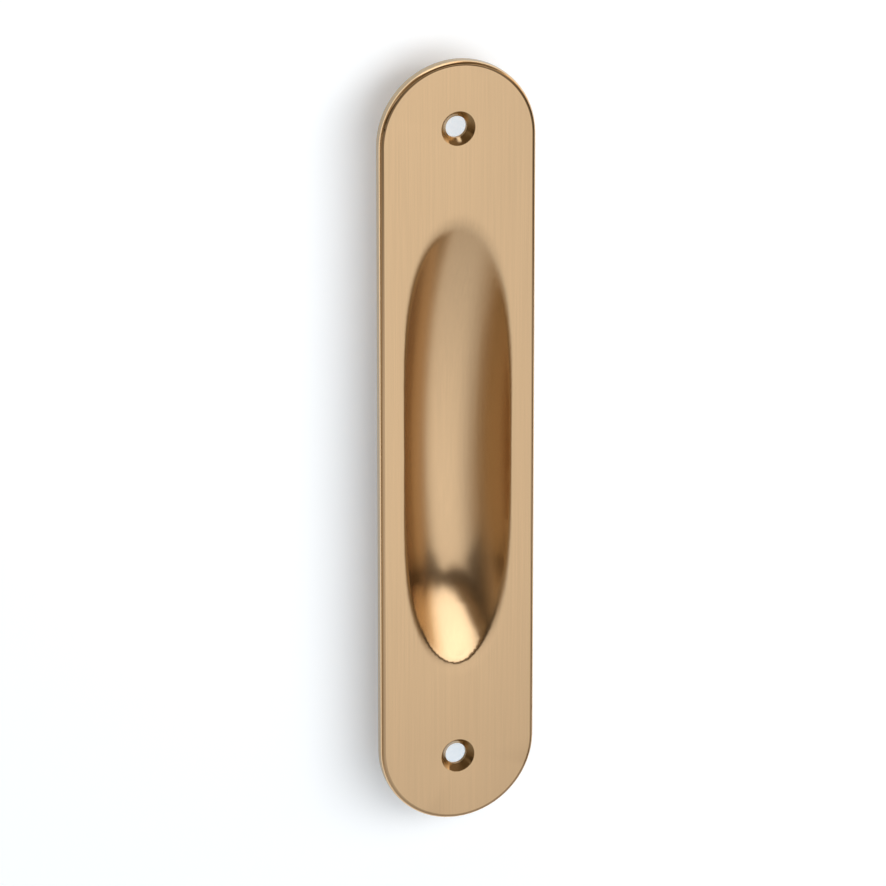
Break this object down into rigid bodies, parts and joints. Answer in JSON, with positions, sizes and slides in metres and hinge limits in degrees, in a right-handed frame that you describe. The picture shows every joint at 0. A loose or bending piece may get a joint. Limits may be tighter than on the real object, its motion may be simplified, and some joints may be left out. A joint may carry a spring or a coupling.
{
  "type": "pocket door pull",
  "caption": "Long round-ended brass pull plate for a sliding door, with a scooped finger dish and countersunk screw holes",
  "frame": {"origin": "midway between the two screw holes, in the plane of the plate's back, which seats on the door", "axes": "+Z along the plate's length, +X across it, +Y into the door, so the face looks along -Y"},
  "size_m": [0.0368, 0.0138, 0.181],
  "materials": {
    "brushed_brass": "fine satin brushing along the plate's length, with brighter rounded edges"
  },
  "bodies": {
    "root": {"pull_plate": "brushed_brass"}
  },
  "joints": []
}
